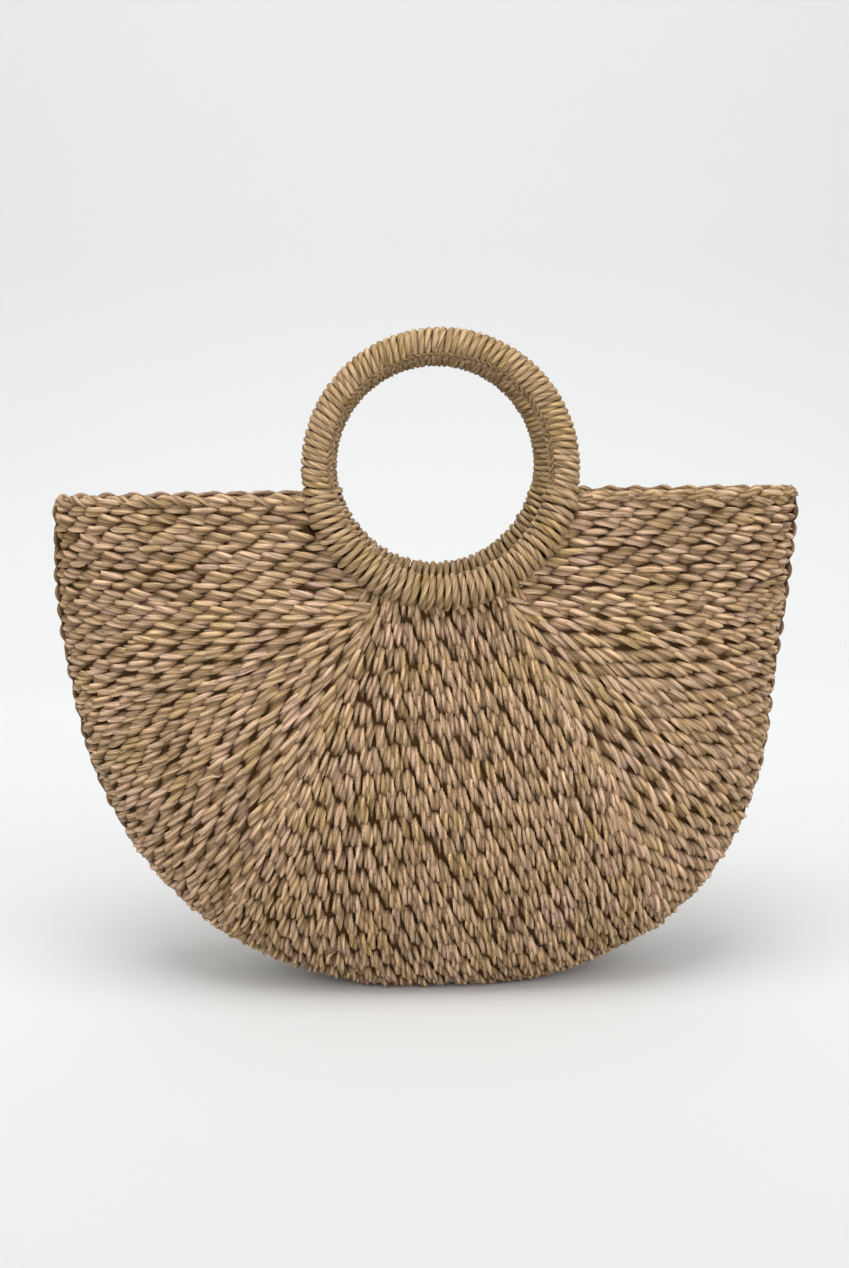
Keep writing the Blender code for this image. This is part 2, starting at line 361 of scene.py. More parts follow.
class Field:
    """A patch of the front panel's face, found by v across the columns and by the arc length along them."""

    STEP = 0.001
    SAMPLES = 260
    SPARE = 0.03  # how far the patch runs on past the outline
    HALVINGS = 40

    def __init__(self, v_low, v_high, count, start_of, direction_of):
        self.v = np.linspace(v_low, v_high, count)
        starts = np.array([start_of(v) for v in self.v])
        directions = np.array([direction_of(v) for v in self.v])
        reach = self._reach(starts, directions)
        even = np.linspace(0.0, 1.0, self.SAMPLES)
        travel = reach[:, None] * (1.0 - (1.0 - even) ** 2)
        x = starts[:, :1] + directions[:, :1] * travel
        z = starts[:, 1:] + directions[:, 1:] * travel
        points = np.stack([x, -body_depth(x, z), np.maximum(z, 0.0)], axis=2)
        lengths = np.zeros(points.shape[:2])
        lengths[:, 1:] = np.cumsum(np.linalg.norm(np.diff(points, axis=1), axis=2), axis=1)
        self.ends = lengths[:, -1]
        grid = np.arange(0.0, self.ends.max() + self.SPARE, self.STEP)
        self.points = np.empty((count, len(grid), 3))
        for row in range(count):
            for axis in range(3):
                self.points[row, :, axis] = np.interp(grid, lengths[row], points[row, :, axis])
            past = grid > self.ends[row]
            self.points[row, past, 1] += grid[past] - self.ends[row]
        along = np.gradient(self.points, self.STEP, axis=1)
        across = np.gradient(self.points, self.v, axis=0)
        self.widths = np.linalg.norm(across, axis=2)
        normals = np.cross(along, across)
        self.normals = normals / np.maximum(np.linalg.norm(normals, axis=2, keepdims=True), 1e-12)
        self.normals[:, :3] = self.normals[:, 3:4]

    @staticmethod
    def _reach(starts, directions):
        """Distance from each start, along its direction in the front view, to the outline."""
        low, high = np.zeros(len(starts)), np.full(len(starts), 0.5)
        for _ in range(Field.HALVINGS):
            middle = (low + high) / 2
            spot = starts + directions * middle[:, None]
            inside = body_share(spot[:, 0], spot[:, 1])[0] < 1.0
            low, high = np.where(inside, middle, low), np.where(inside, high, middle)
        return low

    def _place(self, v, along):
        """Row and column of the grid below each spot, and the shares of the way to the next ones."""
        rows = np.interp(v, self.v, np.arange(len(self.v)))
        columns = np.clip(along / self.STEP, 0, self.points.shape[1] - 1.001)
        r = np.minimum(rows.astype(int), len(self.v) - 2)
        c = columns.astype(int)
        return r, c, (rows - r)[..., None], (columns - c)[..., None]

    def _read(self, table, v, along):
        r, c, fr, fc = self._place(v, along)
        near = table[r, c] * (1 - fc) + table[r, c + 1] * fc
        far = table[r + 1, c] * (1 - fc) + table[r + 1, c + 1] * fc
        return near * (1 - fr) + far * fr

    def at(self, v, along):
        """Points of the face, and its outward normals."""
        normals = self._read(self.normals, v, along)
        lengths = np.maximum(np.linalg.norm(normals, axis=-1, keepdims=True), 1e-9)
        return self._read(self.points, v, along), normals / lengths

    def width(self, v, along):
        """Metres for each unit of v."""
        return self._read(self.widths[..., None], v, along)[..., 0]

    def end(self, v):
        """Arc length at which a column meets the outline."""
        return np.interp(v, self.v, self.ends)


def make_fields():
    """The five patches from the left rim round to the right one: side band, fan, centre, fan, side band."""
    left, right = HOOP_X - FOCUS_HALF_SPAN, HOOP_X + FOCUS_HALF_SPAN
    middle = (-CENTRE_HALF_SPAN, CENTRE_HALF_SPAN, CENTRE_SAMPLES)
    top = FOCUS_HEIGHT + CENTRE_LIFT

    def band(side, corner, base, low, high):
        return Field(low, high, BAND_SAMPLES, lambda v: (corner, base + side * v), lambda v: (side, 0.0))

    def fan(side, corner, low, high):
        def direction(v):
            return side * math.cos(v), side * math.sin(v)

        return Field(low, high, FAN_SAMPLES, lambda v: (corner, FOCUS_HEIGHT), direction)

    return {
        "left_side": band(-1.0, left, RIM_HEIGHT, -BAND_SPARE, BAND),
        "left_fan": fan(-1.0, left, 0.0, FAN_ANGLE),
        "centre": Field(*middle, lambda v: (HOOP_X + v, top), lambda v: (0.0, -1.0)),
        "right_fan": fan(1.0, right, -FAN_ANGLE, 0.0),
        "right_side": band(1.0, right, FOCUS_HEIGHT, 0.0, BAND + BAND_SPARE),
    }


class CordMesh:
    """Gathers cords, each a tube of twisted plies along its own path, into one mesh."""

    def __init__(self):
        self.verts, self.quads, self.caps = [], [], []
        self.tints, self.depths, self.fibres = [], [], []
        self.count = 0

    def add(self, points, normals, radius, tint, depth, twist, phase=0.0, sides=CORD_SIDES, closed=False,
            groove=CORD_GROOVE):
        """A tube along points, rolled by normals. radius, tint and depth: one value, or one a point; depth
        sets how dark its painted shade is.
        """
        steps = len(points)
        if closed:
            tangents = np.roll(points, -1, axis=0) - np.roll(points, 1, axis=0)
        else:
            tangents = np.gradient(points, axis=0)
        tangents /= np.linalg.norm(tangents, axis=1, keepdims=True)
        sideways = np.cross(tangents, normals)
        sideways /= np.linalg.norm(sideways, axis=1, keepdims=True)
        upward = np.cross(sideways, tangents)
        travel = np.zeros(steps)
        travel[1:] = np.cumsum(np.linalg.norm(np.diff(points, axis=0), axis=1))
        turn = phase + 2 * math.pi * travel / twist
        if closed:
            whole = travel[-1] + np.linalg.norm(points[0] - points[-1])
            turns = max(round(whole / twist * 2), 1) / 2
            turn = phase + 2 * math.pi * turns * travel / whole
        ring = np.arange(sides) * 2 * math.pi / sides
        lobes = 1.0 - groove * np.cos(PLIES / 2 * ring) ** 2
        angle = ring[None, :] + turn[:, None]
        reach = (np.broadcast_to(radius, steps)[:, None] * lobes[None, :])[..., None]
        offset = np.cos(angle)[..., None] * upward[:, None, :]
        offset = offset + np.sin(angle)[..., None] * sideways[:, None, :]
        self.verts.append((points[:, None, :] + reach * offset).reshape(-1, 3))
        first = self.count + np.arange(steps if closed else steps - 1)[:, None] * sides
        following = first + sides
        if closed:
            following[-1] = self.count
        here, there = np.arange(sides)[None, :], (np.arange(sides)[None, :] + 1) % sides
        quads = np.stack([first + here, following + here, following + there, first + there], axis=2)
        self.quads.append(quads.reshape(-1, 4))
        if not closed:
            start = self.count + np.arange(sides)
            self.caps.append(start)
            self.caps.append((start + (steps - 1) * sides)[::-1])
        self.tints.append(np.repeat(np.broadcast_to(tint, steps), sides))
        # painted shade from depth: a cord's lower parts, its flanks and its face towards the inside of the
        # bag come out darker
        heights = np.broadcast_to(depth, steps)[:, None]
        from_outside = heights - FLANK_SHADE * (1.0 - np.cos(angle))
        from_inside = -heights - INNER_FACE_SHADE - 2.0 * FLANK_SHADE * (1.0 + np.cos(angle))
        self.depths.append(np.maximum(from_outside, from_inside).ravel())
        round_fibre = np.stack([np.cos(ring), np.sin(ring)], axis=1) * float(np.mean(radius))
        fibre = np.empty((steps, sides, 3))
        fibre[:, :, 0] = travel[:, None] + phase
        fibre[:, :, 1:] = round_fibre[None]
        self.fibres.append(fibre.reshape(-1, 3))
        self.count += steps * sides

    def add_sheet(self, grid, depth):
        """A thin sheet through a grid of points, darkened by painted shade as deep as depth says; a dark one
        is seen only as painted shade between the cords.
        """
        rows, columns = grid.shape[:2]
        self.verts.append(grid.reshape(-1, 3))
        index = self.count + np.arange(rows * columns).reshape(rows, columns)
        corners = (index[:-1, :-1], index[1:, :-1], index[1:, 1:], index[:-1, 1:])
        self.quads.append(np.stack(corners, axis=2).reshape(-1, 4))
        self.tints.append(np.zeros(rows * columns))
        self.depths.append(np.full(rows * columns, depth))
        self.fibres.append(grid.reshape(-1, 3))
        self.count += rows * columns

    def build(self, name, material):
        """One object from all that was added, with tint, depth (which sets the painted shade) and fibre as
        attributes of its points.
        """
        verts = np.concatenate(self.verts)
        quads = np.concatenate(self.quads)
        faces = [quads.ravel(), *self.caps]
        sizes = [4] * len(quads) + [len(cap) for cap in self.caps]
        loops = np.concatenate(faces).astype(np.int32)
        starts = np.concatenate([[0], np.cumsum(sizes)[:-1]]).astype(np.int32)
        mesh = bpy.data.meshes.new(name)
        mesh.vertices.add(len(verts))
        mesh.vertices.foreach_set("co", verts.astype(np.float32).ravel())
        mesh.loops.add(len(loops))
        mesh.loops.foreach_set("vertex_index", loops)
        mesh.polygons.add(len(starts))
        mesh.polygons.foreach_set("loop_start", starts)
        mesh.update(calc_edges=True)
        for label, kind, field, values in (
            ("tint", "FLOAT", "value", np.concatenate(self.tints)),
            ("depth", "FLOAT", "value", np.concatenate(self.depths)),
            ("fibre", "FLOAT_VECTOR", "vector", np.concatenate(self.fibres)),
        ):
            attribute = mesh.attributes.new(label, kind, "POINT")
            attribute.data.foreach_set(field, values.astype(np.float32).ravel())
        mesh.shade_smooth()
        mesh.materials.append(material)
        mesh.validate()
        piece = bpy.data.objects.new(name, mesh)
        bpy.context.scene.collection.objects.link(piece)
        return piece


def course_rows(fields):
    """For each course, its columns from left rim to right: (patch, v, arc length of the base, step, lean)."""
    side_v = (np.arange(SIDE_COLUMNS) + 0.5) / SIDE_COLUMNS * BAND
    courses = []
    for number in range(-1, COURSES):
        travel = FIRST_COURSE + number * COURSE_PITCH
        left, right = [], []
        if number >= 0:
            spot = np.array(travel + FAN_WIDTH_AT * COURSE_PITCH)
            width = fields["left_fan"].width(FAN_ANGLE / 2, spot) * FAN_ANGLE
            count = max(int(round(float(width) / (FAN_SHARE * WALE_PITCH))), FAN_LEAST)
            shares = (np.arange(count) + FAN_FIRST) / (count - FAN_TIGHT)
            left = [("left_side", v, travel, COURSE_PITCH, 0.0) for v in side_v]
            left += [("left_fan", share * FAN_ANGLE, travel, COURSE_PITCH, 0.0) for share in shares]
            right = [("right_fan", (share - 1.0) * FAN_ANGLE, travel, COURSE_PITCH, 0.0) for share in shares]
            right += [("right_side", v, travel, COURSE_PITCH, 0.0) for v in BAND - side_v[::-1]]
        courses.append(left + centre_row(number, travel) + right)
    return courses


def centre_row(number, travel):
    """The columns of one course between the two fans, on a slope and each row offset from the one above."""
    step = COURSE_PITCH * CENTRE_SHARE
    drop = travel * CENTRE_SHARE
    widening = max(drop + 0.5 * step, 0.0) / math.tan(FAN_ANGLE)
    spread = FOCUS_HALF_SPAN + widening + CENTRE_MARGIN * CENTRE_PITCH
    skew = CENTRE_SLOPE / math.tan(FAN_ANGLE)
    offset = (number * CENTRE_SHIFT) % 1.0
    low = math.ceil(-spread / (1.0 - skew) / CENTRE_PITCH - offset)
    high = math.floor(spread / (1.0 + skew) / CENTRE_PITCH - offset)
    leans = np.interp(np.linspace(0.0, 1.0, high - low + 1), *np.array(CENTRE_LEAN).T)
    places = (np.arange(low, high + 1) + offset - LEAN_PIVOT * leans) * CENTRE_PITCH
    bases = CENTRE_LIFT + drop - CENTRE_SLOPE * places
    return [("centre", v, base, step, lean) for v, base, lean in zip(places, bases, leans)]


def hoop_distance(point):
    """Distance of a point from the hoop's middle in the front view, with the hoop's lean undone."""
    return math.hypot(point[0] - HOOP_X, (point[2] - HOOP_HEIGHT) / math.cos(HOOP_LEAN))


def notch_travel(field, v):
    """Arc length at which a column comes out from under the binding."""
    travel = np.arange(0.0, NOTCH_SEARCH, NOTCH_STEP)
    points = field.at(np.full(len(travel), v), travel)[0]
    edge = NOTCH_RADIUS - NOTCH_TUCK
    return max((spot for spot, point in zip(travel, points) if hoop_distance(point) < edge), default=0.0)


def stitch_table(fields):
    """Every stitch as a dictionary: its patch and kind, where it starts, its length, width and lean."""
    stitches = []
    for number, rows in enumerate(course_rows(fields)):
        for place, (patch, v, travel, step, lean) in enumerate(rows):
            field = fields[patch]
            beside = [rows[p] for p in (place - 1, place + 1) if 0 <= p < len(rows)]
            near = [abs(row[1] - v) for row in beside if row[0] == patch]
            if patch == "centre":
                width = CENTRE_PITCH
            elif near:
                width = float(np.mean(near))
            else:
                width = WALE_PITCH / float(field.width(v, np.array(max(travel, 0.01))))
            room = float(field.end(v)) - travel
            edge = notch_travel(field, v)
            start = edge if travel < edge + 0.5 * step else travel
            length = travel + step - start
            if room < LEAST_ROOM * step or length < LEAST_STITCH * step:
                continue
            last = room < LAST_ROOM * step
            if last:
                length += room - step
            stitches.append({
                "patch": patch, "course": number, "place": place, "v": v, "travel": start,
                "length": length, "width": width, "last": last, "lean": lean, "kind": patch.split("_")[-1],
            })
    return stitches


def stitch_points(fields, stitch, draw):
    """Centre line of one stitch's cord, with normals and heights, loosened a little."""
    kind = KINDS[stitch["kind"]]
    along, across, height = np.array(STITCH).T.copy()
    right = across > 0
    left = (across < 0) & (along > STITCH[0][0])
    middle = (along > 0.05) & (along < 1.1)
    across = across * draw.normal(1.0, LOOSE_WIDTH) + draw.normal(0.0, LOOSE_SLANT) * (along - 0.5)
    across = across + draw.normal(0.0, LOOSE_ACROSS)
    line = np.where(across > 0, kind["line"], -kind["line"])
    across = np.where(right | left, across + (line - across) * kind["straight"], across)
    height = height + np.where(right & middle, kind["right_rise"], 0.0)
    height = height - np.where(left & middle, kind["left_sink"], 0.0)
    along = 0.5 + (along - 0.5) * kind["length"]
    along = np.where(right, along + kind["lag"], along)
    across = across + stitch["lean"] * along
    height = height + middle * draw.normal(0.0, LOOSE_HEIGHT)
    along = along + middle * draw.normal(0.0, LOOSE_REACH) + draw.normal(0.0, LOOSE_ALONG)
    if stitch["last"]:
        along = np.minimum(along, 1.0)
    return laid(fields, stitch, along, across, height)


def neck_points(fields, stitch, draw):
    """The same for the loop of the row below, where it shows in the opening of a stitch."""
    along, across, height = np.array(NECK).T
    across = across + draw.normal(0.0, LOOSE_NECK[0])
    height = height + draw.normal(0.0, LOOSE_NECK[1])
    across = across + stitch["lean"] * along
    return laid(fields, stitch, along, across, height + KINDS[stitch["kind"]]["neck_lift"])


def laid(fields, stitch, along, across, height):
    """A stitch laid on its patch: one row for each point, of place, normal, height and thickness."""
    v = stitch["v"] + across * stitch["width"]
    if stitch["patch"] == "left_side":
        v = np.maximum(v, RIM_TUCK)
    if stitch["patch"] == "right_side":
        v = np.minimum(v, BAND - RIM_TUCK)
    travel = np.maximum(stitch["travel"] + along * stitch["length"], 0.0)
    points, normals = fields[stitch["patch"]].at(v, travel)
    lift = (height - 1.0 - LEG_TOP - LEG_SWELL - LEG_REST) * CORD_RADIUS + KNIT_PROUD
    thickness = np.full(len(height), KINDS[stitch["kind"]]["thickness"])
    return np.column_stack([points + normals * lift[:, None], normals, height, thickness])


def knit_runs(stitches):
    """Stitches joined by one cord: neighbours of a course, left, centre and right each on their own."""
    runs = {"left": [], "centre": [], "right": []}
    before = None
    for stitch in stitches:
        part = stitch["patch"].split("_")[0]
        joined = before and before["course"] == stitch["course"] and before["place"] + 1 == stitch["place"]
        if joined and before["patch"].split("_")[0] == part:
            runs[part][-1].append(stitch)
        else:
            runs[part].append([stitch])
        before = stitch
    return runs


def mirrored(points, side):
    """Front-half points or directions, turned to the back half where side is 1."""
    flipped = points.copy()
    flipped[..., 1] *= -side
    return flipped


def body_sheet(part, side, sunk):
    """Grid through the fabric of a panel's left, centre or right part, sunk below its outer face."""
    shares = np.linspace(*SHEET_SHARES[part], SHEET_COLUMNS)
    angles = np.interp(shares, np.linspace(0, 1, OUTLINE_SAMPLES), OUTLINE_ANGLE)
    inner = notch_reach(np.sin(angles), np.cos(angles)) + SHEET_NOTCH_GAP
    reach = np.interp(angles, OUTLINE_ANGLE, OUTLINE_REACH)
    even = np.linspace(0.0, 1.0, SHEET_ROWS)
    distance = inner[:, None] + (reach - inner)[:, None] * (1.0 - (1.0 - even) ** 2)
    x = HOOP_X + distance * np.sin(angles)[:, None]
    z = RIM_HEIGHT - distance * np.cos(angles)[:, None]
    grid = np.stack([x, -body_depth(x, z), z], axis=2)
    normals = np.cross(np.gradient(grid, axis=0), np.gradient(grid, axis=1))
    normals /= np.maximum(np.linalg.norm(normals, axis=2, keepdims=True), 1e-12)
    outward = -np.sign(normals[SHEET_COLUMNS // 2, 5, 1])
    grid -= normals * sunk * outward
    grid[..., 1] = np.minimum(grid[..., 1], -SHEET_SEAM_GAP)
    grid[..., 2] = np.clip(grid[..., 2], SHEET_BASE, RIM_HEIGHT - SHEET_DROP)
    return mirrored(grid, side)


def knit_panel(word, fields, runs, side, seed, material):
    """All the cords of one panel as three pieces. side is -1 for the front and 1 for the back, mirrored."""
    draw = np.random.default_rng(seed)
    pieces = []
    for part, part_runs in runs.items():
        cords = CordMesh()
        stitches = [stitch for run in part_runs for stitch in run if not stitch["last"]]
        paths = [[stitch_points(fields, stitch, draw) for stitch in run] for run in part_runs]
        paths += [[neck_points(fields, stitch, draw)] for stitch in stitches]
        for path in paths:
            tint = np.repeat(draw.normal(0.0, 1.0, len(path)), [len(stitch) for stitch in path])
            rows = np.column_stack([np.concatenate(path), tint])
            places = np.linspace(0, len(rows) - 1, (len(rows) - 1) * STEPS_PER_POINT + 1)
            smooth = catmull_rom(rows, places)
            points, normals = smooth[:, :3].copy(), smooth[:, 3:6].copy()
            height, thickness, tint = smooth[:, 6:].T
            points[:, 2] = np.maximum(points[:, 2], CORD_RADIUS * FLOOR_REST)
            points[:, 1] = np.minimum(points[:, 1], -CORD_RADIUS * SEAM_REST)
            phase = draw.uniform(0, 2 * math.pi)
            rise = np.clip((height - SWELL_FROM) / SWELL_OVER, 0.0, 1.0)
            radius = CORD_RADIUS * thickness * (CORD_PINCH + (1.0 + LEG_SWELL - CORD_PINCH) * rise)
            twist = CORD_TWIST if part == "centre" else SIDE_TWIST
            # the cord's height sets its painted shade: darker where it dives below the others
            cords.add(mirrored(points, side), mirrored(normals, side), radius, tint, height, twist, phase)
        if part != "centre":
            rim_strands(cords, fields[f"{part}_side"], part, side, draw)
        # a dark sheet as painted shade in the openings between the cords, and a lighter, partly shaded one
        # seen from inside
        cords.add_sheet(body_sheet(part, side, SHEET_DEPTH), SHEET_SHADE)
        cords.add_sheet(body_sheet(part, side, INNER_SHEET_DEPTH), INNER_SHEET_SHADE)
        pieces.append(cords.build(f"{word}_knit_{part}", material))
    return pieces


def rim_strands(cords, field, part, side, draw):
    """The knit's own edge along the rim: the cord turns there from each course to the next."""
    travel = np.arange(0.0, float(field.end(field.v[-1])) - RIM_END, RIM_STEP)
    edge = 0.0 if part == "left" else BAND
    points, normals = field.at(np.full(len(travel), edge), travel)
    keep = np.array([hoop_distance(p) > NOTCH_RADIUS - RIM_BACK for p in points])
    points, normals, travel = points[keep], normals[keep], travel[keep]
    upward = np.array([0.0, 0.0, 1.0])
    wander, waves = RIM_WANDER
    for strand in (0.0, math.pi):
        turn = math.pi * travel / COURSE_PITCH + strand + wander * np.sin(travel * waves + draw.uniform(0, 6))
        lift = RIM_SWAY * np.cos(turn) - RIM_SUNK
        rise = RIM_WAVE * np.sin(turn) - RIM_DROP
        path = points + normals * lift[:, None] + upward * rise[:, None]
        path[:, 1] = np.minimum(path[:, 1], -CORD_RADIUS * RIM_REST)
        # painted shade: darker where a strand dips lower
        depth = 0.65 + 0.25 * np.sin(turn)
        crest = mirrored(normals + upward, side)
        cords.add(mirrored(path, side), crest, CORD_RADIUS, draw.normal(), depth, CORD_TWIST, strand)


def seam_chain(name, material):
    """Chain of stitches over the seam, all along the outline where the two panels meet."""
    draw = np.random.default_rng(5)
    cords = CordMesh()
    x = HOOP_X + OUTLINE_REACH * np.sin(OUTLINE_ANGLE)
    z = RIM_HEIGHT - OUTLINE_REACH * np.cos(OUTLINE_ANGLE)
    outline = np.stack([x, np.zeros_like(x), np.maximum(z, 0.0)], axis=1)
    travel = np.concatenate([[0.0], np.cumsum(np.linalg.norm(np.diff(outline, axis=0), axis=1))])
    tangents = np.gradient(outline, axis=0)
    tangents /= np.linalg.norm(tangents, axis=1, keepdims=True)
    normals = np.cross(np.array([0.0, 1.0, 0.0]), tangents)
    normals *= -np.sign(normals[OUTLINE_SAMPLES // 2, 2])
    count = int((travel[-1] - 2 * SEAM_END) / SEAM_PITCH)
    table = np.array(SEAM_STITCH)
    for number in range(count):
        along, across, height = table.T
        here = SEAM_END + (number + along + draw.normal(0, 0.03)) * SEAM_PITCH
        base = np.stack([np.interp(here, travel, outline[:, i]) for i in range(3)], axis=1)
        out = np.stack([np.interp(here, travel, normals[:, i]) for i in range(3)], axis=1)
        path = base + out * ((height * CORD_RADIUS - SEAM_SUNK)[:, None])
        path[:, 1] += across * SEAM_WIDTH
        rows = np.column_stack([path, out, height])
        smooth = catmull_rom(rows, np.linspace(0, len(table) - 1, SEAM_STEPS))
        points = smooth[:, :3].copy()
        points[:, 2] = np.maximum(points[:, 2], CORD_RADIUS * FLOOR_REST)
        tint, phase = draw.normal(), draw.uniform(0, 6.28)
        # the chain's heights set its painted shade: darker where it dips
        cords.add(points, smooth[:, 3:6], CORD_RADIUS, tint, smooth[:, 6], CORD_TWIST, phase)
    return cords.build(name, material)


def hoop_matrix(side):
    """Place of a hoop: its circle in local XZ, the top leaning inwards."""
    place = Matrix.Translation((HOOP_X, side * HOOP_SPACING / 2, HOOP_HEIGHT))
    return np.array(place @ Matrix.Rotation(side * HOOP_LEAN, 4, "X"))


def hoop_points(side, theta, phi, radius):
    """Points on a tube round a hoop. theta runs round the hoop from straight down, phi round its tube."""
    ring = np.stack([np.sin(theta), np.zeros_like(theta), -np.cos(theta)], axis=-1)
    out = np.cos(phi)[..., None] * ring + np.sin(phi)[..., None] * np.array([0.0, side, 0.0])
    points = HOOP_RADIUS * ring + np.broadcast_to(radius, theta.shape)[..., None] * out
    matrix = hoop_matrix(side)
    return points @ matrix[:3, :3].T + matrix[:3, 3], out @ matrix[:3, :3].T


def hoop_winding(name, side, seed, material):
    """Cord wound round the bare part of a hoop, a ridge of hitches along it, and the core inside."""
    draw = np.random.default_rng(seed)
    cords = CordMesh()
    tuck = WINDING_TUCK / HOOP_RADIUS
    first, last = BINDING_HALF_ARC - tuck, 2 * math.pi - BINDING_HALF_ARC + tuck
    turns = int((last - first) * HOOP_RADIUS / WINDING_PITCH)
    turn = np.linspace(0.0, turns, turns * WINDING_STEPS)
    phi = turn * 2 * math.pi
    theta = first + (last - first) * turn / turns
    wobble = catmull_rom(draw.normal(0.0, WINDING_LOOSE, (turns * 2 + 1, 1)), turn * 2)[:, 0]
    slant = WINDING_SLANT[0] + WINDING_SLANT[1] * np.cos(theta + 0.6)
    theta = theta + (slant * np.sin(phi - 1.2) + wobble * WINDING_PITCH * 0.5) / HOOP_RADIUS
    radius = HOOP_TUBE_RADIUS - WINDING_CORD * WINDING_SUNK + WINDING_LUMPS * wobble
    points, out = hoop_points(side, theta, phi, radius)
    tint = catmull_rom(draw.normal(0.0, 1.0, (turns + 2, 1)), turn)[:, 0]
    # painted shade only on the turns' flanks
    cords.add(points, out, WINDING_CORD, tint, 0.85, HOOP_TWIST, groove=0.08)

    theta = np.linspace(first, last, int((last - first) * HOOP_RADIUS / RIDGE_STEP))
    phi = np.full(len(theta), RIDGE_ANGLE) + 0.05 * np.sin(theta * 9)
    points, out = hoop_points(side, theta, phi, HOOP_TUBE_RADIUS - RIDGE_SUNK)
    # the ridge is partly darkened by painted shade
    cords.add(points, out, RIDGE_CORD, -0.2, 0.45, 3 * WINDING_PITCH, sides=RIDGE_SIDES, groove=0.4)

    theta = np.linspace(0, 2 * math.pi, CORE_STEPS, endpoint=False)
    points, out = hoop_points(side, theta, np.zeros(len(theta)), np.zeros(len(theta)))
    core = HOOP_TUBE_RADIUS - CORE_SUNK * WINDING_CORD
    # the core is fully darkened by painted shade, seen only between the turns
    cords.add(points, out, core, -1.0, -0.8, 1.0, sides=CORE_SIDES, closed=True, groove=0.0)
    return cords.build(name, material)


def hoop_loops(name, side, seed, material):
    """Binding loops, side by side in pairs, over the lower arc of a hoop."""
    draw = np.random.default_rng(seed)
    cords = CordMesh()
    phi = np.linspace(0, 2 * math.pi, LOOP_STEPS, endpoint=False)
    pinch = np.clip(np.cos(phi), 0.0, 1.0) ** 2
    inner = np.clip(-np.cos(phi), 0.0, 1.0)
    cord = LOOP_CORD * (1.0 - LOOP_THINNED * inner)
    spacing = 2 * BINDING_HALF_ARC / LOOP_COUNT
    for number in range(LOOP_COUNT):
        middle = BINDING_HALF_ARC * ((number + 0.5) / LOOP_COUNT * 2 - 1)
        pair = 1 if number % 2 == 0 else -1
        place = LOOP_PAIRED * pair * pinch + draw.normal(0.0, LOOP_LOOSE[0]) + LOOP_SWAY * np.sin(phi - 0.5)
        theta = middle + spacing * place
        sunk = LOOP_CORD * (LOOP_SUNK + LOOP_STAGGER * (number % 2) * inner)
        radius = BINDING_RADIUS - sunk + draw.normal(0.0, LOOP_LOOSE[1])
        points, out = hoop_points(side, theta, phi, radius)
        tint, phase = draw.normal(0.3, 1.0), draw.uniform(0, 6.28)
        # painted shade on the loops' flanks
        cords.add(points, out, cord, tint, 0.8, HOOP_TWIST, phase, sides=LOOP_SIDES, closed=True)
    return cords.build(name, material)


